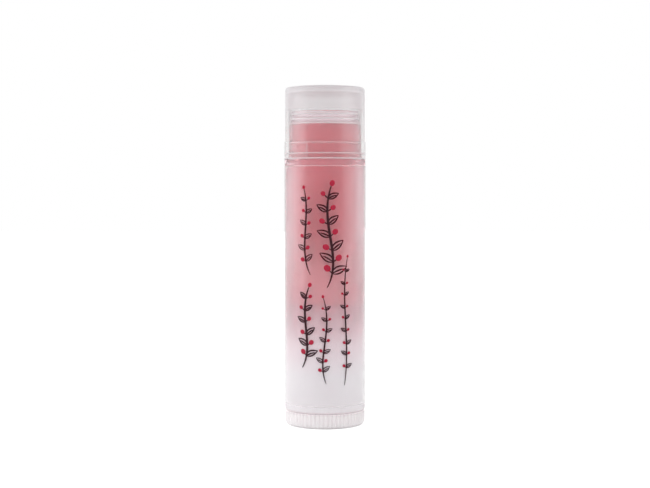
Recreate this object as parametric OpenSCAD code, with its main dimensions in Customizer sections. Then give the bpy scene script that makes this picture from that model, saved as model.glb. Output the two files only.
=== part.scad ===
/* [Dial] */
// How far the dial's side lies inside the barrel's side
dial_inset = 0.05; // [0:0.01:0.3]
// Height of the dial that shows below the barrel
dial_h = 2.85; // [2.2:0.05:6]
// Radius of the dial's lower edge
dial_edge_r = 0.9; // [0.3:0.1:1.5]
// Number of flutes around the dial
dial_flutes = 60; // [30:1:80]
// Depth of each flute
flute_depth = 0.16; // [0.05:0.01:0.3]
// Width of the flat ring that the tube stands on
rest_ring_w = 1.5; // [0.8:0.1:2.5]
// Depth of the recess under the dial
recess_depth = 0.4; // [0.1:0.1:1]

/* [Hub and screw] */
// Length of the hub ring that turns inside the barrel
hub_l = 6.1; // [4:0.1:9]
// Wall of the hub ring
hub_wall = 0.9; // [0.5:0.1:1.5]
// Radial running clearance of the hub in the barrel
hub_gap = 0.08; // [0.03:0.01:0.1]
// How far the hub's snap bead stands out
snap_bead = 0.22; // [0.12:0.01:0.35]
// Height of the snap bead above the dial's top
snap_up = 3; // [1.5:0.1:4]
// Diameter of the plain root below the screw
root_d = 6.4; // [5.2:0.1:8]
// Length of the plain root below the screw
root_l = 8.1; // [6.5:0.1:12]
// Outer diameter of the screw thread
screw_d = 4.8; // [3.8:0.1:5.6]
// Diameter of the screw's core
screw_core_d = 3.2; // [2.4:0.1:3.8]
// Lift of the elevator for one turn of the dial
screw_lead = 3.2; // [2.4:0.1:5]
// Distance from the barrel's rim down to the screw's end
screw_below_rim = 7.1; // [4:0.1:12]

/* [Barrel] */
// Outer diameter of the barrel without its label
barrel_d = 15.9; // [13:0.1:20]
// Length of the barrel's full-width body
barrel_l = 49.2; // [38:0.1:70]
// Gap between the dial and the barrel
dial_gap = 0.15; // [0.05:0.05:0.3]
// Length of the neck above the shoulder
neck_l = 9.4; // [7.5:0.1:13]
// Wall of the neck
neck_wall = 0.62; // [0.4:0.02:0.9]
// How far the snap ring and the crush ribs stand out of the neck
neck_bead = 0.1; // [0.05:0.01:0.14]
// Height of the neck's snap ring above the shoulder
neck_bead_up = 3.3; // [2.5:0.1:5]
// Spacing of the fine seal rings below the rim
seal_pitch = 0.9; // [0.6:0.05:1.2]
// Number of guide ribs inside the barrel
guide_ribs = 2; // [2:1:4]
// Width of a guide rib
guide_w = 0.9; // [0.6:0.05:1.4]
// Height of a guide rib
guide_h = 0.4; // [0.2:0.05:0.6]

/* [Cap] */
// Wall of the cap above its band
cap_wall = 0.62; // [0.4:0.02:1]
// Thickness of the cap's roof
cap_roof = 1; // [0.6:0.1:2]
// Free height between the barrel's rim and the cap's roof
cap_headroom = 3.8; // [2:0.1:8]
// Radial gap between the neck and the cap
cap_gap = 0.17; // [0.16:0.01:0.3]
// Gap between the cap's mouth and the barrel's shoulder
cap_seat_gap = 0.1; // [0.05:0.05:0.3]
// How far the band round the mouth stands out of the cap
band_step = 0.17; // [0.05:0.01:0.3]
// Height of the band round the mouth
band_h = 3.5; // [2:0.1:6]
// Depth of the inner step at the mouth
mouth_step = 0.18; // [0.05:0.01:0.25]
// Height of the inner step at the mouth
mouth_h = 1; // [0.5:0.1:2]
// Radius of the cap's upper edge
cap_edge_r = 0.55; // [0.2:0.05:0.9]

/* [Label] */
// Thickness of the film
label_t = 0.05; // [0.03:0.01:0.1]
// Bare barrel above the label
label_top_bare = 1.2; // [0.5:0.1:5]
// Bare barrel below the label
label_foot_bare = 1.3; // [0.5:0.1:5]
// Gap between the two ends of the wrap
label_open = 1; // [0.5:0.1:4]

/* [Elevator and balm] */
// Height of the cup, with its floor
cup_h = 7.8; // [5:0.1:12]
// Wall of the cup
cup_wall = 0.7; // [0.5:0.05:1.1]
// Thickness of the cup's floor
cup_floor = 1; // [0.6:0.1:1.6]
// Radial sliding clearance of the cup in the barrel
cup_gap = 0.09; // [0.05:0.01:0.15]
// Wall of the nut outside its thread
nut_wall = 0.9; // [0.6:0.1:1.2]
// Length of the nut below the cup's floor
nut_below = 5; // [3:0.1:8]
// Length of the nut above the cup's floor
nut_above = 3.6; // [2:0.1:5]
// Number of fins that hold the balm in the cup
cup_fins = 4; // [2:1:6]
// Thickness of a fin
fin_t = 0.6; // [0.4:0.05:1]
// Height of a fin above the floor
fin_h = 2.8; // [1:0.1:4]
// Distance from the barrel's rim down to the balm's crown
balm_below_rim = 2.1; // [0.5:0.1:5]
// Height of the balm's crown above its edge
balm_crown = 0.45; // [0.2:0.05:1]
// Gap between the balm and the barrel
balm_gap = 0.1; // [0.05:0.01:0.2]

/* [Hidden] */

// Clearances that no one sets by hand
key_gap = 0.1;
thread_gap = 0.2;
nut_seat_gap = 0.3;
mould_gap = 0.03;
screw_end_gap = 0.6;
film_gap = 0.01;
overrun = 0.2;

// Small shapes of the barrel
lip_r = 0.2;
bead_r = 0.3;
seal_bead_r = 0.2;
seal_rings = 3;
seal_first = 0.55;
seal_proud = 0.08;
crush_ribs = 3;
crush_rib_at = -30;
crush_rib_l = 3.2;
crush_rib_up = 0.3;
foot_chamfer = 0.25;
guide_start = 0.5;
guide_stop = 1;
groove_extra = 0.15;
snap_half_h = 0.45;
mouth_lip_r = 0.15;
band_bead_r = 0.2;
band_bead_proud = 0.05;

// Radii, from the outside of the barrel inwards
barrel_r = barrel_d / 2;
band_r = barrel_r + film_gap + label_t;
cap_r = band_r - band_step;
cap_in_r = cap_r - cap_wall;
neck_r = cap_in_r - cap_gap;
bore_r = neck_r - neck_wall;
cup_r = bore_r - cup_gap;
balm_r = bore_r - balm_gap;
hub_r = bore_r - hub_gap;
dial_r = barrel_r - dial_inset;
recess_r = dial_r - dial_edge_r - rest_ring_w;
root_r = root_d / 2;
screw_r = screw_d / 2;
screw_core_r = screw_core_d / 2;
nut_in_r = screw_r + thread_gap;
nut_r = nut_in_r + nut_wall;

// Heights, from the table up
barrel_z = dial_h + dial_gap;
shoulder_z = barrel_z + barrel_l;
rim_z = shoulder_z + neck_l;
cap_z = shoulder_z + cap_seat_gap;
roof_z = rim_z + cap_headroom;
top_z = roof_z + cap_roof;
hub_top_z = dial_h + hub_l;
snap_z = dial_h + snap_up;
root_top_z = dial_h + root_l;
screw_top_z = rim_z - screw_below_rim;
nut_z = root_top_z + nut_seat_gap;
cup_z = nut_z + nut_below;
cup_floor_z = cup_z + cup_floor;
cup_top_z = cup_z + cup_h;
nut_top_z = cup_floor_z + nut_above;
crown_z = rim_z - balm_below_rim;

// Share of a turn taken by the thread's crest and by each of its flanks
crest_share = 0.2;
flank_share = 0.14;
// Straight steps round the thread's crest and its root, and slices in one turn of it
crest_steps = 5;
root_steps = 6;
turn_slices = 16;
// Shares of a flute's pitch where its land ends, its floor starts and its floor ends
flute_shares = [0, 0.4, 0.62, 0.78];
flute_depth_shares = [0, 0, 1, 1];
round_fn = 96;
small_fn = 32;

// Half profile of a solid of revolution: a straight side with a round upper corner
module round_topped(r, low, high, corner) {
    translate([0, low])
        square([r, high - low - corner]);
    translate([0, high - corner - overrun])
        square([r - corner, corner + overrun]);
    translate([r - corner, high - corner])
        circle(corner, $fn = small_fn);
}

// Points on an arc of radius r, from one share of a turn to another
function arc(r, from, to, steps) = [
    for (i = [0 : steps])
        let (a = 360 * (from + (to - from) * i / steps))
            r * [cos(a), sin(a)]
];

// One section across the thread: a cam with a crest, two flanks and a round root
module thread_section(core, crest, extra) {
    half = crest_share / 2 + extra / screw_lead;
    foot = half + flank_share;
    polygon(concat(arc(crest, -half, half, crest_steps), arc(core, foot, 1 - foot, root_steps)));
}

// A left-hand thread between two heights: the dial turned clockwise from below lifts the nut
module thread(low, high, core, crest, extra) {
    turns = (high - low) / screw_lead;
    translate([0, 0, low])
        rotate(-360 * (low - root_top_z) / screw_lead)
            linear_extrude(high - low, twist = 360 * turns, slices = ceil(turn_slices * turns))
                thread_section(core, crest, extra);
}

// Slots or keys along the bore, where the guide ribs run
module guides(low, high, depth, width) {
    for (i = [0 : guide_ribs - 1])
        rotate(360 * i / guide_ribs)
            translate([bore_r - depth, -width / 2, low])
                cube([depth + overrun, width, high - low]);
}

// Radial fins between the nut and the cup's wall
module fins(low, high, width) {
    inner = nut_r - overrun;
    for (i = [0 : cup_fins - 1])
        rotate(360 * (i + 1 / 2) / cup_fins)
            translate([inner, -width / 2, low])
                cube([cup_r - cup_wall - inner + overrun, width, high - low]);
}

module cap() {
    color([0.93, 0.92, 0.93, 0.5])
        rotate_extrude($fn = round_fn)
            difference() {
                union() {
                    round_topped(cap_r, cap_z, top_z, cap_edge_r);
                    round_topped(band_r, cap_z, cap_z + band_h, mouth_lip_r);
                    translate([band_r + band_bead_proud - band_bead_r, cap_z + band_h - band_bead_r])
                        circle(band_bead_r, $fn = small_fn);
                }
                round_topped(cap_in_r, cap_z - overrun, roof_z, cap_edge_r);
                translate([0, cap_z - overrun])
                    square([cap_in_r + mouth_step, mouth_h + overrun]);
            }
}

// Wall of the barrel, its neck with the snap ring and the fine seal rings
module barrel_wall() {
    groove_h = 2 * (snap_half_h + groove_extra);
    rotate_extrude($fn = round_fn)
        difference() {
            union() {
                translate([0, barrel_z + foot_chamfer])
                    square([barrel_r, barrel_l - foot_chamfer]);
                translate([0, barrel_z])
                    square([barrel_r - foot_chamfer, foot_chamfer + overrun]);
                round_topped(neck_r, shoulder_z - overrun, rim_z, lip_r);
                translate([neck_r + neck_bead - bead_r, shoulder_z + neck_bead_up])
                    circle(bead_r, $fn = small_fn);
                for (i = [0 : seal_rings - 1])
                    translate([neck_r + seal_proud - seal_bead_r, rim_z - seal_first - i * seal_pitch])
                        circle(seal_bead_r, $fn = small_fn);
            }
            translate([0, barrel_z - overrun])
                square([bore_r, barrel_l + neck_l + 2 * overrun]);
            translate([0, snap_z - groove_h / 2])
                square([hub_r + snap_bead + groove_extra, groove_h]);
        }
}

module barrel() {
    color([0.92, 0.90, 0.91, 0.45]) {
        barrel_wall();
        guides(hub_top_z + guide_start, rim_z - guide_stop, guide_h, guide_w);
        for (i = [0 : crush_ribs - 1])
            rotate(crush_rib_at - 90 + 360 * i / crush_ribs)
                translate([neck_r + neck_bead - bead_r, 0, shoulder_z + crush_rib_up])
                    cylinder(crush_rib_l, bead_r, bead_r, $fn = small_fn);
    }
}

module label() {
    open_angle = 360 * label_open / (2 * PI * band_r);
    low = barrel_z + label_foot_bare;
    color([0.96, 0.95, 0.96, 0.3])
        rotate(90 + open_angle / 2)
            rotate_extrude(angle = 360 - open_angle, $fn = round_fn)
                translate([barrel_r + film_gap, low])
                    square([label_t, shoulder_z - label_top_bare - low]);
}

module elevator() {
    color([0.90, 0.86, 0.87, 0.6])
        difference() {
            union() {
                rotate_extrude($fn = round_fn)
                    difference() {
                        translate([0, cup_z])
                            square([cup_r, cup_h]);
                        translate([0, cup_floor_z])
                            square([cup_r - cup_wall, cup_h]);
                    }
                translate([0, 0, nut_z])
                    cylinder(nut_top_z - nut_z, nut_r, nut_r, $fn = round_fn);
                fins(cup_floor_z - cup_floor / 2, cup_floor_z + fin_h, fin_t);
            }
            thread(nut_z - overrun, nut_top_z + overrun, screw_core_r + thread_gap, nut_in_r, thread_gap);
            guides(cup_z - overrun, cup_top_z + overrun, guide_h + key_gap, guide_w + 2 * key_gap);
        }
}

module balm() {
    base_r = cup_r - cup_wall - mould_gap;
    foot_z = cup_floor_z + mould_gap;
    crown_r = (balm_r * balm_r + balm_crown * balm_crown) / (2 * balm_crown);
    color([0.80, 0.42, 0.46])
        difference() {
            intersection() {
                rotate_extrude($fn = round_fn) {
                    translate([0, foot_z])
                        square([base_r, crown_z - foot_z]);
                    translate([0, cup_top_z + mould_gap])
                        square([balm_r, crown_z - cup_top_z - mould_gap]);
                }
                translate([0, 0, crown_z - crown_r])
                    sphere(crown_r, $fn = round_fn);
            }
            translate([0, 0, foot_z - overrun])
                cylinder(nut_top_z + mould_gap - foot_z + overrun, nut_r + mould_gap,
                    nut_r + mould_gap, $fn = round_fn);
            translate([0, 0, foot_z])
                cylinder(screw_top_z + screw_end_gap - foot_z, nut_in_r, nut_in_r, $fn = round_fn);
            fins(foot_z - overrun, cup_floor_z + fin_h + mould_gap, fin_t + 2 * mould_gap);
            guides(foot_z, crown_z, guide_h + key_gap, guide_w + 2 * key_gap);
        }
}

// Outline of the dial seen from below, with its flutes
module fluted_disc() {
    polygon([
        for (i = [0 : dial_flutes - 1])
            for (k = [0 : len(flute_shares) - 1])
                let (a = 360 * (i + flute_shares[k]) / dial_flutes)
                    (dial_r - flute_depth * flute_depth_shares[k]) * [cos(a), sin(a)]
    ]);
}

module thumbwheel() {
    color([0.91, 0.89, 0.90, 0.6]) {
        difference() {
            intersection() {
                linear_extrude(dial_h)
                    fluted_disc();
                rotate_extrude($fn = round_fn) {
                    translate([0, dial_edge_r])
                        square([dial_r, dial_h]);
                    square([dial_r - dial_edge_r, dial_h]);
                    translate([dial_r - dial_edge_r, dial_edge_r])
                        circle(dial_edge_r, $fn = small_fn);
                }
            }
            translate([0, 0, -overrun])
                cylinder(recess_depth + overrun, recess_r, recess_r, $fn = round_fn);
        }
        rotate_extrude($fn = round_fn) {
            difference() {
                union() {
                    translate([0, dial_h - overrun])
                        square([hub_r, hub_l + overrun]);
                    polygon([
                        [0, snap_z - snap_half_h],
                        [hub_r, snap_z - snap_half_h],
                        [hub_r + snap_bead, snap_z - snap_half_h / 2],
                        [hub_r + snap_bead, snap_z],
                        [hub_r, snap_z + snap_half_h],
                        [0, snap_z + snap_half_h]
                    ]);
                }
                translate([0, dial_h])
                    square([hub_r - hub_wall, hub_l + overrun]);
            }
            translate([0, dial_h - overrun])
                square([root_r, root_l + overrun]);
        }
        thread(root_top_z - overrun, screw_top_z, screw_core_r, screw_r, 0);
    }
}

cap();
barrel();
label();
elevator();
balm();
thumbwheel();
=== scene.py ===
import math

import bpy
import numpy as np
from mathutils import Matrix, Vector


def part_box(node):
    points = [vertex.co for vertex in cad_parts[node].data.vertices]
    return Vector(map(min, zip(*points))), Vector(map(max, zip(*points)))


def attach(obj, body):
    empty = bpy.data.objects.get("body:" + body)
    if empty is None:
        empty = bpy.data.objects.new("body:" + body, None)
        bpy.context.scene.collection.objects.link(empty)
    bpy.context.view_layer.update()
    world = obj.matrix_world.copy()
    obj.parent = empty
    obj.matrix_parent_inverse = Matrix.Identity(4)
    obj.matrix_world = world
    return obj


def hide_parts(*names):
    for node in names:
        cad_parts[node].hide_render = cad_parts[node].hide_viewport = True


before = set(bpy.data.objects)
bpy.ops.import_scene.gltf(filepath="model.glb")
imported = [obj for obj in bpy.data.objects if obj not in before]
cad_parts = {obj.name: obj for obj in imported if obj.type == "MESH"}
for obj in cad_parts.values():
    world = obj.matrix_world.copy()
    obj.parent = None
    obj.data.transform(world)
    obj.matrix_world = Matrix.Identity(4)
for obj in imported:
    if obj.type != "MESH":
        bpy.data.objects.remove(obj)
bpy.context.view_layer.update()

# Barrel: one moulding of natural polypropylene, thick in the body and thin in the neck, with a snap
# ring, crush ribs and seal rings. Pushed out of a satin mould, it is milky and clear at once: what
# lies close behind the wall shows soft, and the rim of the wall mirrors the light and stays pale.
MM = 0.001


def srgb(code):
    """An sRGB hex colour as a linear RGBA tuple, by the sRGB transfer curve."""
    values = [int(code[i:i + 2], 16) / 255 for i in (1, 3, 5)]
    return (*[v / 12.92 if v <= 0.04045 else ((v + 0.055) / 1.055) ** 2.4 for v in values], 1.0)


def add(tree, kind, inputs=None, **settings):
    """Adds one node: settings are its properties, inputs are values or sockets to link by name."""
    made = tree.nodes.new(kind)
    for name, value in settings.items():
        setattr(made, name, value)
    for name, value in (inputs or {}).items():
        if isinstance(value, bpy.types.NodeSocket):
            tree.links.new(value, made.inputs[name])
        else:
            made.inputs[name].default_value = value
    return made


def new_material(name):
    """A material with an empty node tree, and that tree."""
    made = bpy.data.materials.new(name)
    made.use_nodes = True
    made.node_tree.nodes.clear()
    return made, made.node_tree


def moulded_polypropylene(name, tint, cloudy_tint, clearness, roughness, light_reach):
    """Natural polypropylene: flow clouds in its milk, and the faint waves, a few microns deep, that
    a satin mould leaves in its gloss. light_reach is how far light goes in the milk. Also gives the
    shader and the point, for what changes over the piece."""
    cloud_l, wave_l, wave_h = 5 * MM, 2 * MM, 0.01 * MM
    material, tree = new_material(name)
    place = add(tree, "ShaderNodeTexCoord").outputs["Object"]
    cloud = add(tree, "ShaderNodeTexNoise", {"Vector": place, "Scale": 1 / cloud_l, "Detail": 3.0})
    milk = add(tree, "ShaderNodeMix", {"Factor": cloud.outputs["Fac"]}, data_type="RGBA")
    milk.inputs[6].default_value = srgb(tint)
    milk.inputs[7].default_value = srgb(cloudy_tint)
    wave = add(tree, "ShaderNodeTexNoise", {"Vector": place, "Scale": 1 / wave_l, "Detail": 2.0})
    bump = add(tree, "ShaderNodeBump", {"Height": wave.outputs["Fac"], "Strength": 0.3,
                                        "Distance": wave_h})
    surface = add(tree, "ShaderNodeBsdfPrincipled", {
        "Base Color": milk.outputs[2], "Roughness": roughness, "IOR": 1.35,
        "Transmission Weight": clearness, "Subsurface Weight": 1.0, "Subsurface Scale": 1.0,
        "Subsurface Radius": (light_reach, light_reach, light_reach),
        "Normal": bump.outputs["Normal"]})
    add(tree, "ShaderNodeOutputMaterial", {"Surface": surface.outputs["BSDF"]})
    return material, surface, place


def by_height(tree, place, table):
    """A share that follows a table of heights above the floor and shares, straight in between."""
    height = add(tree, "ShaderNodeSeparateXYZ", {"Vector": place}).outputs["Z"]
    low, high = table[0][0], table[-1][0]
    along = add(tree, "ShaderNodeMapRange", {"Value": height, "From Min": low, "From Max": high})
    ramp = add(tree, "ShaderNodeValToRGB", {"Fac": along.outputs["Result"]})
    stops = ramp.color_ramp.elements
    stops[0].position, stops[1].position = 0, 1
    for z, _ in table[1:-1]:
        stops.new((z - low) / (high - low))
    for stop, (_, share) in zip(stops, table):
        stop.color = (share, share, share, 1)
    return ramp.outputs["Color"]


def barrel_finish():
    """The barrel's wall is clear above and milkier towards the foot, where it cooled slowest. Its
    rim, above the balm, is polished. At the balm's foot its milk has painted light: a pink tint
    and a faint pink glow, standing for the balm's light that the wall leads down, and less of both
    beside the cup, whose wall lies between. The crests of the rings and ribs on the neck, which are
    what lies further than crest_r from the axis there, are made milky white as painted highlights."""
    clear_shares = ((8 * MM, 0.09), (12 * MM, 0.09), (16 * MM, 0.16), (20 * MM, 0.5),
                    (24 * MM, 0.8), (31 * MM, 0.9), (38 * MM, 1.0), (50.9 * MM, 1.0),
                    (51 * MM, 0.9), (52.2 * MM, 0.9), (52.3 * MM, 1.0))
    # Painted light: the next two tables set a pink tint and a faint pink emission on the milk, for
    # the balm's light led down the wall.
    painted_glow_shares = ((10 * MM, 0.0), (14 * MM, 0.4), (19 * MM, 0.6), (26 * MM, 0.3),
                   (32 * MM, 0.0))
    painted_emission_shares = ((13 * MM, 0.0), (18 * MM, 0.02), (23.9 * MM, 0.006), (24.1 * MM, 0.026),
                  (28 * MM, 0.024), (36 * MM, 0.0))
    rough_shares = ((59.6 * MM, 0.6), (59.8 * MM, 0.15))
    crest_r, neck_z = 7.09 * MM, 52.4 * MM
    # Painted highlights: the crests of the neck's rings and ribs are made milky white, for the lines
    # of light they show.
    painted_crest_shares = ((58.8 * MM, 0.7), (58.9 * MM, 0.1))
    material, surface, place = moulded_polypropylene(
        "natural_polypropylene_barrel", "#FFF3F7", "#FAEEF2", 1.0, 0.6, 1.1 * MM)
    tree = material.node_tree
    plain = surface.inputs["Base Color"].links[0].from_socket
    glow = add(tree, "ShaderNodeMix", {"Factor": by_height(tree, place, painted_glow_shares)},
               data_type="RGBA")
    tree.links.new(plain, glow.inputs[6])
    glow.inputs[7].default_value = srgb("#FFDBE3")
    tree.links.new(glow.outputs[2], surface.inputs["Base Color"])
    across = add(tree, "ShaderNodeVectorMath", {0: place, 1: (1, 1, 0)}, operation="MULTIPLY")
    across = add(tree, "ShaderNodeVectorMath", {0: across.outputs["Vector"]}, operation="LENGTH")
    height = add(tree, "ShaderNodeSeparateXYZ", {"Vector": place}).outputs["Z"]
    beyond = add(tree, "ShaderNodeMath", {0: across.outputs["Value"], 1: crest_r},
                 operation="GREATER_THAN")
    on_neck = add(tree, "ShaderNodeMath", {0: height, 1: neck_z}, operation="GREATER_THAN")
    painted_crest_mask = add(tree, "ShaderNodeMath", {0: beyond.outputs[0], 1: on_neck.outputs[0]},
                operation="MULTIPLY")
    clearness = add(tree, "ShaderNodeMix", {"Factor": painted_crest_mask.outputs[0],
                                            2: by_height(tree, place, clear_shares),
                                            3: by_height(tree, place, painted_crest_shares)})
    tree.links.new(clearness.outputs[0], surface.inputs["Transmission Weight"])
    tree.links.new(by_height(tree, place, rough_shares), surface.inputs["Roughness"])
    # Painted glow: a faint pink emission, though the wall is no lamp.
    surface.inputs["Emission Color"].default_value = srgb("#FF6E7C")
    tree.links.new(by_height(tree, place, painted_emission_shares), surface.inputs["Emission Strength"])
    return material


def dress(node, material):
    """Gives a CAD node its finish."""
    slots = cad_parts[node].data.materials
    slots.clear()
    slots.append(material)


dress("barrel", barrel_finish())


# Thumbwheel: fluted dial, snap hub and lead screw in one moulding of the same polypropylene, put in
# from below until its bead snaps into the barrel's groove. It is thick, so it is milkier.
def dial_finish():
    """Its milk leads light into the gap of 0.15 mm under the barrel: a faint glow on the dial's top
    face stands for that, as the paths are too long to trace."""
    painted_glow_shares = ((2.7 * MM, 0.0), (2.84 * MM, 0.16), (2.87 * MM, 0.16), (3.2 * MM, 0.0))
    material, surface, place = moulded_polypropylene(
        "natural_polypropylene_dial", "#F9F2F4", "#F2EBED", 0.0, 0.4, 2.0 * MM)
    tree = material.node_tree
    surface.inputs["Emission Color"].default_value = srgb("#FFF3F6")
    tree.links.new(by_height(tree, place, painted_glow_shares), surface.inputs["Emission Strength"])
    return material


dress("thumbwheel", dial_finish())


# Elevator: a cup with a threaded nut under it and fins inside, moulded of polypropylene too. It
# runs down the screw, keyed to the barrel's ribs, and the balm is poured into it. Its milk is
# given a pink colour as painted light, standing for the balm's light that it takes.
# Painted light: the pink tints stand for the balm's light in the cup's milk.
cup_plastic = moulded_polypropylene("natural_polypropylene_cup", "#FFB4BF", "#FAA9B4", 0.1, 0.5,
                                    1.1 * MM)[0]
dress("elevator", cup_plastic)


# Balm: a stick of wax and oil, poured hot round the screw and set with a low crown. It is dyed
# raspberry, cloudy where the wax grew its crystals, and light goes about a millimetre into it.
def poured_balm():
    """Raspberry balm with clouds, a fine wax grain and a soft sheen. The top, in the thin neck, is
    made paler and brighter as painted light, for the shade that the cap and the neck put on it."""
    cloud_l, grain_l, grain_h = 6 * MM, 0.4 * MM, 0.03 * MM
    painted_light_share, painted_light_from, painted_light_to = 1.2, 50 * MM, 54 * MM
    material, tree = new_material("raspberry_balm_wax")
    place = add(tree, "ShaderNodeTexCoord").outputs["Object"]
    cloud = add(tree, "ShaderNodeTexNoise", {"Vector": place, "Scale": 1 / cloud_l, "Detail": 4.0})
    colour = add(tree, "ShaderNodeMix", {"Factor": cloud.outputs["Fac"]}, data_type="RGBA")
    colour.inputs[6].default_value = srgb("#D85F6A")
    colour.inputs[7].default_value = srgb("#E47580")
    height = add(tree, "ShaderNodeSeparateXYZ", {"Vector": place}).outputs["Z"]
    # Painted light: the balm's colour is brightened towards the top, in the neck.
    pale = add(tree, "ShaderNodeMapRange", {"Value": height, "From Min": painted_light_from,
                                            "From Max": painted_light_to, "To Min": 1.0,
                                            "To Max": painted_light_share})
    colour = add(tree, "ShaderNodeHueSaturation", {"Color": colour.outputs[2],
                                                   "Value": pale.outputs["Result"]})
    grain = add(tree, "ShaderNodeTexNoise", {"Vector": place, "Scale": 1 / grain_l, "Detail": 2.0})
    bump = add(tree, "ShaderNodeBump", {"Height": grain.outputs["Fac"], "Strength": 0.3,
                                        "Distance": grain_h})
    surface = add(tree, "ShaderNodeBsdfPrincipled", {
        "Base Color": colour.outputs["Color"], "Roughness": 0.4, "IOR": 1.44,
        "Subsurface Weight": 0.3, "Subsurface Radius": (1.2 * MM, 0.6 * MM, 0.6 * MM),
        "Subsurface Scale": 1.0, "Normal": bump.outputs["Normal"]})
    add(tree, "ShaderNodeOutputMaterial", {"Surface": surface.outputs["BSDF"]})
    return material


def ring_mesh(name, radius, height, turn):
    """A closed skin from a grid of rows along an outline and columns round the axis: a point lies at
    (radius * cos(turn), radius * sin(turn), height). The first and last rows are single points on
    the axis. Faces point outwards where the rows run outwards on top and down the side. Edges
    sharper than sharp_from degrees stay sharp."""
    sharp_from = 35
    rows, columns = radius.shape
    ring = np.stack([radius * np.cos(turn), radius * np.sin(turn), height], axis=-1)[1:-1]
    ends = np.array([[0, 0, height[0].mean()], [0, 0, height[-1].mean()]])
    points = np.concatenate([ring.reshape(-1, 3), ends])
    here = np.arange((rows - 3) * columns).reshape(rows - 3, columns)
    beside = np.roll(here, -1, axis=1)
    quads = np.stack([here, here + columns, beside + columns, beside], axis=-1).reshape(-1, 4)
    first = np.arange(columns)
    last = first + (rows - 3) * columns
    top, low = len(points) - 2, len(points) - 1
    lid = np.stack([np.full(columns, top), first, np.roll(first, -1)], axis=-1)
    floor_fan = np.stack([np.roll(last, -1), last, np.full(columns, low)], axis=-1)
    mesh = bpy.data.meshes.new(name)
    mesh.from_pydata(points.tolist(), [], quads.tolist() + lid.tolist() + floor_fan.tolist())
    mesh.polygons.foreach_set("use_smooth", np.ones(len(mesh.polygons), dtype=bool))
    mesh.set_sharp_from_angle(angle=math.radians(sharp_from))
    piece = bpy.data.objects.new(name, mesh)
    bpy.context.scene.collection.objects.link(piece)
    return piece


def balm_stick():
    """The balm as it set in the cup and the barrel. It shrank from their walls as it cooled, by a
    hair. Its top is a low dome with slow waves, and a rim that crept up the wall and fades inwards
    as exp(-distance / width). Its side has a groove for each guide rib, its foot is notched by the
    fins, and the core is open for the nut and the screw."""
    shrinkage = 0.06 * MM
    bore_r, cup_in_r = 6.43 * MM - shrinkage, 5.64 * MM - shrinkage
    rib_w, rib_h = 0.9 * MM, 0.4 * MM
    fin_w, fin_h, fins = 0.6 * MM, 2.8 * MM, 4
    nut_r, nut_h, screw_r = 3.53 * MM, 3.63 * MM, 2.6 * MM
    dome, creep, creep_w, wave = 0.35 * MM, 0.15 * MM, 0.3 * MM, 0.03 * MM
    low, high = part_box("balm")
    cup_top_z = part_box("elevator")[1][2]
    floor_z = low[2] + shrinkage
    bore_end_z = high[2] - 4.4 * MM
    columns, top_rows, foot_rows = 384, 18, 10
    turn = np.arange(columns) * 2 * np.pi / columns
    in_groove = np.abs(bore_r * np.sin(turn)) < rib_w / 2
    side_r = np.where(in_groove, bore_r - rib_h, bore_r)

    share = np.linspace(0, 1, top_rows)[:, None]
    top_r = share * side_r
    top_z = (high[2] - dome * (top_r / bore_r) ** 2 + creep * np.exp(-(bore_r - top_r) / creep_w)
             + wave * share * np.sin(2 * turn + 1) * np.sin(3 * np.pi * share))
    foot_r = cup_in_r + (nut_r - cup_in_r) * np.linspace(0, 1, foot_rows)[:, None] + 0 * turn
    beside_fin = np.min([np.abs(foot_r * np.sin(turn - np.pi * (i + 0.5) * 2 / fins))
                         for i in range(fins)], axis=0)
    foot_z = np.where(beside_fin < fin_w / 2, floor_z + fin_h, floor_z)
    core_r = np.array([nut_r, screw_r, screw_r, 0])[:, None] + 0 * turn
    core_z = np.array([floor_z + nut_h, floor_z + nut_h, bore_end_z, bore_end_z])[:, None] + 0 * turn
    radius = np.concatenate([top_r, side_r[None], 0 * side_r[None] + cup_in_r, foot_r, core_r])
    height = np.concatenate([top_z, np.full((2, columns), cup_top_z), foot_z, core_z])
    return ring_mesh("balm_stick", radius, height, turn)


balm = balm_stick()
balm.data.materials.append(poured_balm())
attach(balm, "carrier")
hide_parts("balm")


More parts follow.
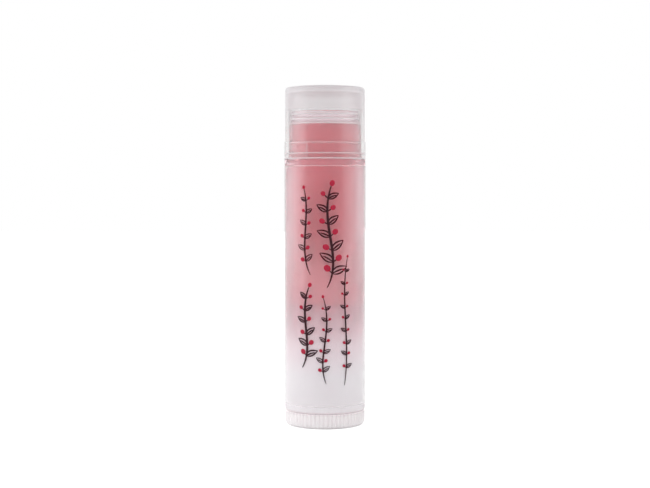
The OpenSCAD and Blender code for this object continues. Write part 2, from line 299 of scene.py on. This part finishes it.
# Label: a clear film, wrapped round the barrel and open by a millimetre at the back. Its glue fills
# the satin surface, so it is glossier than the bare wall and hardly shows.
def thin_clear_wall(name, tint, clear_tint, milk_shares, mirror_share, gloss_roughness, wave_l,
                    wave_h):
    """A wall too thin to bend what is seen through it. milk_shares is a table by height of the share
    of light that each face scatters head on, as much back as on through the wall. On the slant it
    is 1 - (1 - share) ** (1 / cosine), as the way through the milk is longer, and least_cosine keeps
    it finite at the very edge. clear_tint is what is left of light that passes a face straight. The
    gloss follows Schlick's rule, f + (1 - f) * (1 - cosine) ** 5, where f is mirror_share, the
    reflection head on, and it is broken by waves about wave_l long and wave_h high."""
    least_cosine = 0.15
    material, tree = new_material(name)
    place = add(tree, "ShaderNodeTexCoord").outputs["Object"]
    slope = add(tree, "ShaderNodeLayerWeight", {"Blend": 0.5}).outputs["Facing"]
    cosine = add(tree, "ShaderNodeMath", {0: 1.0, 1: slope}, operation="SUBTRACT")
    cosine = add(tree, "ShaderNodeMath", {0: cosine.outputs[0], 1: least_cosine},
                 operation="MAXIMUM")
    way = add(tree, "ShaderNodeMath", {0: 1.0, 1: cosine.outputs[0]}, operation="DIVIDE")
    clear = add(tree, "ShaderNodeMath", {0: 1.0, 1: by_height(tree, place, milk_shares)},
                operation="SUBTRACT")
    clear = add(tree, "ShaderNodeMath", {0: clear.outputs[0], 1: way.outputs[0]},
                operation="POWER")
    through = add(tree, "ShaderNodeBsdfTransparent", {"Color": srgb(clear_tint)})
    back = add(tree, "ShaderNodeBsdfDiffuse", {"Color": srgb(tint)})
    onward = add(tree, "ShaderNodeBsdfTranslucent", {"Color": srgb(tint)})
    scatter = add(tree, "ShaderNodeMixShader", {"Fac": 0.5, 1: back.outputs[0],
                                                2: onward.outputs[0]})
    wall = add(tree, "ShaderNodeMixShader", {"Fac": clear.outputs[0], 1: scatter.outputs[0],
                                             2: through.outputs[0]})
    rise = add(tree, "ShaderNodeMath", {0: slope, 1: 5.0}, operation="POWER")
    mirror = add(tree, "ShaderNodeMath", {0: rise.outputs[0], 1: 1 - mirror_share,
                                          2: mirror_share}, operation="MULTIPLY_ADD")
    wave = add(tree, "ShaderNodeTexNoise", {"Vector": place, "Scale": 1 / wave_l, "Detail": 1.0})
    bump = add(tree, "ShaderNodeBump", {"Height": wave.outputs["Fac"], "Distance": wave_h})
    gloss = add(tree, "ShaderNodeBsdfAnisotropic", {"Roughness": gloss_roughness,
                                                    "Normal": bump.outputs["Normal"]})
    surface = add(tree, "ShaderNodeMixShader", {"Fac": mirror.outputs[0], 1: wall.outputs[0],
                                                2: gloss.outputs[0]})
    add(tree, "ShaderNodeOutputMaterial", {"Surface": surface.outputs[0]})
    return material


def label_finish():
    """Clear film. Its cut edges, at the top and the foot, are made milky in a thin white line, a
    painted highlight for the light they catch.
    """
    film, cut = 0.03, 0.5
    # Painted highlight: the milky bands at the cut edges.
    milk_shares = ((4.3 * MM, cut), (4.4 * MM, cut), (4.45 * MM, film), (50.85 * MM, film),
                   (50.9 * MM, cut), (51 * MM, cut))
    return thin_clear_wall("clear_label_film", "#FFFFFF", "#FFFFFF", milk_shares, 0.02, 0.08, 5 * MM,
                           0.12 * MM)


dress("label", label_finish())

FILM_R = 8.01 * MM
INK_R = 8.03 * MM


def printed_band(path, width, across):
    """Ink along a path of points (u, v), u round the label and v up it, in metres. At each point a
    row lies across the path, from -width / 2 to width / 2 to its left, with the same number of
    points on the ink's face and under it. (u, v) is at the angle u / FILM_R from the front."""
    step = np.gradient(path, axis=0)
    side = np.stack([-step[:, 1], step[:, 0]], axis=-1)
    side = side / np.linalg.norm(side, axis=1, keepdims=True)
    share = np.linspace(-0.5, 0.5, across)
    flat = path[:, None] + side[:, None] * (width[:, None] * share)[..., None]
    flat = np.concatenate([flat, flat[:, ::-1]], axis=1)
    radius = np.repeat([INK_R, FILM_R], across)
    turn = flat[..., 0] / FILM_R
    points = np.stack([radius * np.sin(turn), -radius * np.cos(turn), flat[..., 1]], axis=-1)
    rows, ring = points.shape[:2]
    here = np.arange((rows - 1) * ring).reshape(rows - 1, ring)
    beside = np.roll(here, -1, axis=1)
    quads = np.stack([here, here + ring, beside + ring, beside], axis=-1).reshape(-1, 4)
    ends = [list(range(ring)), list(range((rows - 1) * ring, rows * ring))[::-1]]
    return points.reshape(-1, 3), quads.tolist() + ends


def printed_piece(name, bands, material):
    """One mesh of many bands of ink, on the label."""
    points, faces, count = [], [], 0
    for band_points, band_faces in bands:
        points.append(band_points)
        faces += [[corner + count for corner in face] for face in band_faces]
        count += len(band_points)
    mesh = bpy.data.meshes.new(name)
    mesh.from_pydata(np.concatenate(points).tolist(), [], faces)
    mesh.materials.append(material)
    piece = bpy.data.objects.new(name, mesh)
    bpy.context.scene.collection.objects.link(piece)
    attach(piece, "tube")


def bend(points, steps):
    """A cubic curve through four control points, by Bernstein's weights."""
    t = np.linspace(0, 1, steps)[:, None]
    a, b, c, d = np.array(points) * MM
    return (1 - t) ** 3 * a + 3 * (1 - t) ** 2 * t * b + 3 * (1 - t) * t ** 2 * c + t ** 3 * d


def taper(steps, width):
    """A brush's width along a stroke: full in the middle and a third at the ends, as
    1 - thinning * |t| ** 3 for t from -1 to 1."""
    thinning = 0.65
    return width * (1 - thinning * np.abs(np.linspace(-1, 1, steps)) ** 3)


def stroke(points, width, steps=36):
    """A bent stroke of the brush."""
    return printed_band(bend(points, steps), taper(steps, width * MM), 2)


def leaf_strokes(base, heading, length, breadth, width):
    """A leaf's two edges and its midrib. An edge lies breadth / 2 * sin(pi * t ** 0.8) beside the
    midrib at the share t of its length, and the whole leaf droops as t squared."""
    steps, droop_share, midrib_share = 28, 0.12, 0.72
    t = np.linspace(0, 1, steps)
    along = np.array([math.cos(heading), math.sin(heading)])
    beside = np.array([-along[1], along[0]])
    droop = -droop_share * length * math.copysign(1, along[0]) * t ** 2
    made = []
    for share, reach in ((-0.5, 1.0), (0.5, 1.0), (0.0, midrib_share)):
        off = share * breadth * np.sin(np.pi * t ** 0.8) + droop
        path = np.array(base) + reach * length * t[:, None] * along + off[:, None] * beside
        made.append(printed_band(path * MM, taper(steps, width * MM), 2))
    return made


def berry(place, radius, heading=0.0, stretch=1.15):
    """A berry, an oval of ink: at the share cos(s) of its half length it is 2 * radius * sin(s) wide.
    s stops short of the ends by blunt, so that no face there shrinks to a point."""
    steps, across, blunt = 17, 7, 0.06
    s = np.linspace(blunt, np.pi - blunt, steps)
    along = np.array([math.cos(heading), math.sin(heading)])
    path = np.array(place) - radius * stretch * np.cos(s)[:, None] * along
    return printed_band(path * MM, 2 * radius * MM * np.sin(s), across)


def printing_ink(name, colour, thin_colour):
    """Screen ink: even and satin, a little thinner in specks where the mesh was."""
    speck_l = 0.15 * MM
    material, tree = new_material(name)
    place = add(tree, "ShaderNodeTexCoord").outputs["Object"]
    speck = add(tree, "ShaderNodeTexNoise", {"Vector": place, "Scale": 1 / speck_l, "Detail": 1.0})
    mixed = add(tree, "ShaderNodeMix", {"Factor": speck.outputs["Fac"]}, data_type="RGBA")
    mixed.inputs[6].default_value = srgb(colour)
    mixed.inputs[7].default_value = srgb(thin_colour)
    surface = add(tree, "ShaderNodeBsdfPrincipled", {"Base Color": mixed.outputs[2],
                                                     "Roughness": 0.5, "IOR": 1.3})
    add(tree, "ShaderNodeOutputMaterial", {"Surface": surface.outputs["BSDF"]})
    return material


def sprigs():
    """The label's print: sprigs of leaves and berries, drawn with a brush. Leaves stand on a stem
    by turns left and right, and a berry hangs from a short stalk between them. Each row holds a
    stem's four control points in millimetres, its width, its number of leaves, their length and
    breadth, and the berries' radius. Leaves and berries turn off the stem by radians, and get
    smaller towards its tip."""
    stem_steps, stalk_steps = 60, 10
    first_step, leafy_steps = 6, 50
    leaf_turn, berry_turn = 0.85, 0.95
    stalk_l, shrink, tip_berry = 0.42, 0.35, 0.8
    leaf_line, stalk_line = 0.6, 0.5
    rows = (
        (((0.4, 27.5), (3.8, 33.5), (-1.6, 40.0), (1.4, 47.6)), 0.5, 7, 3.3, 1.35, 0.62),
        (((-2.9, 30.0), (-5.6, 35.0), (-2.6, 41.0), (-4.3, 46.8)), 0.38, 6, 1.9, 0.85, 0.4),
        (((-4.6, 12.0), (-1.8, 16.5), (-5.8, 22.0), (-3.0, 28.0)), 0.48, 6, 2.5, 1.0, 0.48),
        (((0.2, 9.0), (-1.8, 14.0), (1.8, 19.0), (-0.4, 25.8)), 0.32, 7, 1.7, 0.7, 0.34),
        (((3.9, 8.6), (5.4, 17.0), (2.8, 25.0), (4.6, 33.5)), 0.32, 9, 1.5, 0.6, 0.3),
    )
    inked, berries = [], []
    for points, width, leaves, length, breadth, radius in rows:
        inked.append(stroke(points, width, stem_steps))
        stem = bend(points, stem_steps + 1) / MM
        heading = np.unwrap(np.arctan2(*np.gradient(stem, axis=0).T[::-1]))
        for i in range(leaves):
            at = first_step + int(leafy_steps * (i + 0.5) / leaves)
            hand = 1 if i % 2 else -1
            size = 1.0 - shrink * i / leaves
            way = heading[at] + hand * leaf_turn
            inked += leaf_strokes(stem[at], way, length * size, breadth * size, leaf_line * width)
            way = heading[at] - hand * berry_turn
            tip = stem[at] + stalk_l * length * np.array([math.cos(way), math.sin(way)])
            middle = (stem[at] + tip) / 2
            inked.append(stroke((stem[at], middle, middle, tip), stalk_line * width, stalk_steps))
            berries.append(berry(tip, radius * size, way))
        berries.append(berry(stem[-1], radius * tip_berry, heading[-1]))
    return inked, berries


burgundy_ink = printing_ink("burgundy_screen_ink", "#260610", "#360E1A")
crimson_ink = printing_ink("crimson_screen_ink", "#A81232", "#B92C48")
inked_lines, inked_berries = sprigs()
printed_piece("printed_sprigs", inked_lines, burgundy_ink)
printed_piece("printed_berries", inked_berries, crimson_ink)


# Cap: a thin moulding of natural polypropylene, pushed over the neck down to the shoulder, with a
# slightly wider band at its mouth.
def cap_finish():
    """Natural polypropylene, clear over the neck and milky above it, where its core was satin, and
    more so in the roof. The mouth's edge and the step inside it are made milky in thin bands, as
    painted highlights that show as white lines."""
    clear, hazy, milky, roof, step, mouth = 0.04, 0.1, 0.3, 0.6, 0.6, 0.7
    # Painted highlights: the narrow mouth and step bands are milky, to draw white lines of light.
    milk_shares = ((52.3 * MM, mouth), (52.5 * MM, mouth), (52.6 * MM, clear), (53.3 * MM, clear),
                   (53.35 * MM, step), (53.5 * MM, step), (53.55 * MM, clear), (57 * MM, clear),
                   (61.5 * MM, hazy), (62.2 * MM, milky), (65 * MM, milky), (65.3 * MM, roof))
    return thin_clear_wall("natural_polypropylene_cap", "#F2F1F3", "#FCFCFC", milk_shares, 0.05, 0.3,
                           3 * MM, 0.04 * MM)


dress("cap", cap_finish())


# Floor, light and camera: a white paper sweep under the object, a soft surround that is brighter
# on the left, and a soft lamp at either side, which draws the long pale bands on the barrel.
def in_sight(tree):
    """1 for what the camera sees straight, in gloss or through clear plastic, and 0 for what only
    lights a surface that scatters."""
    path = add(tree, "ShaderNodeLightPath")
    seen = add(tree, "ShaderNodeMath", {0: path.outputs["Is Camera Ray"],
                                        1: path.outputs["Is Glossy Ray"]}, operation="MAXIMUM")
    seen = add(tree, "ShaderNodeMath", {0: seen.outputs[0],
                                        1: path.outputs["Is Transmission Ray"]}, operation="MAXIMUM")
    direct = add(tree, "ShaderNodeMath", {0: path.outputs["Diffuse Depth"], 1: 0.5},
                 operation="LESS_THAN")
    return add(tree, "ShaderNodeMath", {0: seen.outputs[0], 1: direct.outputs[0]},
               operation="MULTIPLY").outputs[0]


def studio():
    """A soft surround: brighter on the left than on the right, and a little brighter behind the
    camera than behind the object. What is in sight of it is plain white."""
    left, right, front, round_the_back = 0.97, 0.68, 1.12, 0.98
    world = bpy.data.worlds.new("studio")
    bpy.context.scene.world = world
    world.use_nodes = True
    tree = world.node_tree
    tree.nodes.clear()
    way = add(tree, "ShaderNodeTexCoord").outputs["Generated"]
    way = add(tree, "ShaderNodeSeparateXYZ", {"Vector": way})
    across = add(tree, "ShaderNodeMapRange", {"Value": way.outputs["X"], "From Min": -1.0,
                                              "From Max": 1.0, "To Min": left, "To Max": right})
    depth = add(tree, "ShaderNodeMapRange", {"Value": way.outputs["Y"], "From Min": -1.0,
                                             "From Max": 0.0, "To Min": front,
                                             "To Max": round_the_back})
    level = add(tree, "ShaderNodeMath", {0: across.outputs[0], 1: depth.outputs[0]},
                operation="MULTIPLY")
    level = add(tree, "ShaderNodeMix", {"Factor": in_sight(tree), 2: level.outputs[0], 3: 1.0})
    light = add(tree, "ShaderNodeBackground", {"Color": (1, 1, 1, 1), "Strength": level.outputs[0]})
    add(tree, "ShaderNodeOutputWorld", {"Surface": light.outputs[0]})


def soft_lamp(name, place, target, size, power):
    """A rectangular lamp at place that faces target, in metres and watts."""
    data = bpy.data.lights.new(name, "AREA")
    data.shape = "RECTANGLE"
    data.size, data.size_y = size
    data.energy = power
    lamp = bpy.data.objects.new(name, data)
    bpy.context.scene.collection.objects.link(lamp)
    aim = [t - p for t, p in zip(target, place)]
    lamp.location = place
    lamp.rotation_euler = (math.atan2(math.hypot(aim[0], aim[1]), -aim[2]), 0,
                           math.atan2(aim[1], aim[0]) - math.pi / 2)


studio()
soft_lamp("soft_lamp_left", (-0.42, -0.075, 0.1), (0, 0, 0.05), (0.3, 0.3), 0.43)
soft_lamp("soft_lamp_right", (0.39, -0.15, 0.1), (0, 0, 0.05), (0.25, 0.3), 0.27)


def sweep_material():
    """Matt white paper. What is in sight of it is lifted to white, less the object's shadow."""
    lift_share = 0.55
    material, tree = new_material("white_paper_sweep")
    paper = add(tree, "ShaderNodeBsdfDiffuse", {"Color": srgb("#F4F4F4")})
    lift = add(tree, "ShaderNodeMath", {0: in_sight(tree), 1: lift_share}, operation="MULTIPLY")
    glow = add(tree, "ShaderNodeEmission", {"Strength": lift.outputs[0]})
    both = add(tree, "ShaderNodeAddShader", {0: paper.outputs[0], 1: glow.outputs[0]})
    add(tree, "ShaderNodeOutputMaterial", {"Surface": both.outputs[0]})
    return material


FLOOR_SIZE = 3.0
bpy.ops.mesh.primitive_plane_add(size=FLOOR_SIZE)
floor = bpy.context.object
floor.name = "floor"
floor.data.materials.append(sweep_material())


# Camera: in front, a little above the middle and tipped down by a couple of degrees, with the
# photograph's frame of 650 by 488 pixels. The horizon is the row at the height of the eye.
FRAME_W, FRAME_H = 650, 488
PX_PER_MM = 5.055
HORIZON_Y = 198.7
DISTANCE = 260 * MM
EYE_Z = 44.6 * MM
SENSOR = 36
camera_data = bpy.data.cameras.new("camera")
camera_data.sensor_width = SENSOR
camera_data.lens = PX_PER_MM / MM * DISTANCE / FRAME_W * SENSOR
camera = bpy.data.objects.new("camera", camera_data)
camera.location = (0, -DISTANCE, EYE_Z)
tip = math.atan((FRAME_H / 2 - HORIZON_Y) * MM / PX_PER_MM / DISTANCE)
camera.rotation_euler = (math.pi / 2 - tip, 0, 0)
bpy.context.scene.collection.objects.link(camera)
bpy.context.scene.camera = camera
bpy.context.scene.view_settings.view_transform = "Standard"
